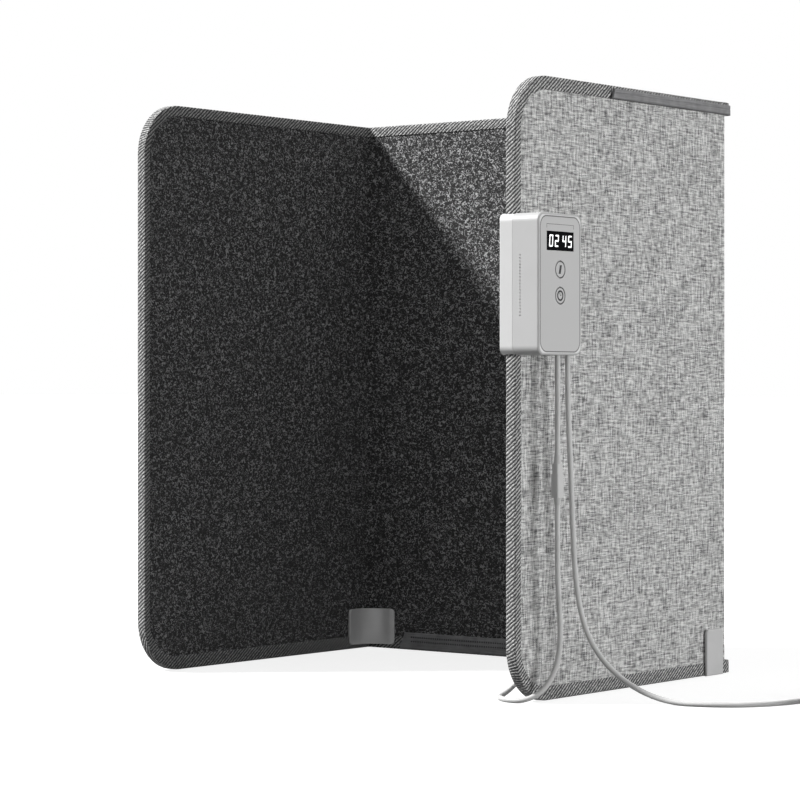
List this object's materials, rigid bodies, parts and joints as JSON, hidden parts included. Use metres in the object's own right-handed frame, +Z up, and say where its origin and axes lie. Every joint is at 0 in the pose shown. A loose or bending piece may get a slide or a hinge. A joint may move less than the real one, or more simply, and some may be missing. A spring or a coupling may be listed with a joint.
{
  "type": "under desk heater panel",
  "caption": "free-standing folding fabric heater that stands round the legs under a desk, with a clip-on control box and cord",
  "frame": {"origin": "middle of the back leaf's bottom edge, on the floor, midway through the leaf's thickness", "axes": "+Z up, +X towards the leaf with the control box, -Y out of the open front"},
  "size_m": [0.6725, 0.3313, 0.5],
  "materials": {
    "outer_linen": "pale grey slubby linen weave",
    "inner_felt": "charcoal mottled needle felt",
    "twill_tape": "black and grey twill tape with slanted stripes",
    "zip_tape": "mid grey woven zip tape",
    "mat_zip_tape": "dark grey coated zip tape",
    "panel_board": "closed-cell stiffening board",
    "foil_insulation": "foil-faced reflecting sheet",
    "carbon_film": "carbon heating film",
    "fold_lead_wire": "flat flexible lead",
    "clip_rubber": "mid grey moulded rubber",
    "clip_plastic": "pale grey moulded plastic",
    "case_plastic": "fine satin moulded plastic",
    "overlay_film": "printed control sheet",
    "display_lens": "dark clear window",
    "display_body": "digit display block",
    "key_plastic": "white printed key caps",
    "circuit_laminate": "green circuit laminate",
    "component_plastic": "black moulded parts",
    "can_aluminium": "sleeved can",
    "screw_steel": "plated steel",
    "cord_jacket": "pale grey cord jacket",
    "connector_plastic": "white moulded plastic",
    "plug_plastic": "pale grey moulded plug",
    "pin_metal": "plated pins with dark sleeves"
  },
  "bodies": {
    "back_panel": {"back_cover": "outer_linen", "back_board": "panel_board", "back_insulation": "foil_insulation", "back_heating_film": "carbon_film", "back_lining": "inner_felt", "back_binding": "twill_tape", "back_cover_zip": "zip_tape", "mat_zip": "mat_zip_tape", "back_clip_plates": "clip_plastic", "left_fold_cover": "outer_linen", "left_fold_lining": "inner_felt", "left_fold_trim": "twill_tape", "left_fold_lead": "fold_lead_wire", "left_corner_clip": "clip_rubber", "right_fold_cover": "outer_linen", "right_fold_lining": "inner_felt", "right_fold_trim": "twill_tape", "right_fold_lead": "fold_lead_wire", "right_corner_clip": "clip_rubber"},
    "left_panel": {"left_cover": "outer_linen", "left_board": "panel_board", "left_insulation": "foil_insulation", "left_heating_film": "carbon_film", "left_lining": "inner_felt", "left_binding": "twill_tape", "left_cover_zip": "zip_tape", "left_clip_plate": "clip_plastic"},
    "right_panel": {"right_cover": "outer_linen", "right_board": "panel_board", "right_insulation": "foil_insulation", "right_heating_film": "carbon_film", "right_lining": "inner_felt", "right_binding": "twill_tape", "right_cover_zip": "zip_tape", "right_clip_plate": "clip_plastic", "thermal_cutout": "component_plastic", "control_case_front": "case_plastic", "control_case_hook": "case_plastic", "control_overlay": "overlay_film", "display_window": "display_lens", "display_module": "display_body", "key_switches": "component_plastic", "circuit_board": "circuit_laminate", "relay": "component_plastic", "capacitor": "can_aluminium", "case_screws": "screw_steel", "heater_lead_gland": "cord_jacket", "mains_cord_gland": "cord_jacket", "heater_lead_upper": "cord_jacket", "connector_socket": "connector_plastic", "connector_plug": "connector_plastic", "heater_lead_lower": "cord_jacket", "lead_grommet": "cord_jacket", "mains_cord": "cord_jacket", "mains_cord_coil": "cord_jacket", "mains_plug": "plug_plastic", "plug_pins": "pin_metal"},
    "power_key": {"power_key": "key_plastic"},
    "timer_key": {"timer_key": "key_plastic"}
  },
  "joints": [
    {"name": "left_fold", "type": "hinge", "parent": "back_panel", "child": "left_panel", "pos_m": [-0.1924, -0.0066, 0.25], "axis": [0, 0, 1], "range_deg": [-90, 90], "deforming": ["left_fold_cover", "left_fold_lining", "left_fold_trim", "left_fold_lead", "left_corner_clip"]},
    {"name": "right_fold", "type": "hinge", "parent": "back_panel", "child": "right_panel", "pos_m": [0.1924, -0.0066, 0.25], "axis": [0, 0, 1], "range_deg": [-82, 90], "deforming": ["right_fold_cover", "right_fold_lining", "right_fold_trim", "right_fold_lead", "right_corner_clip"]},
    {"name": "power_key_press", "type": "slide", "parent": "right_panel", "child": "power_key", "axis": [-1, 0, 0], "range_m": [0, 0.0006], "stiffness_N_per_m": 400},
    {"name": "timer_key_press", "type": "slide", "parent": "right_panel", "child": "timer_key", "axis": [-1, 0, 0], "range_m": [0, 0.0006], "stiffness_N_per_m": 400}
  ]
}
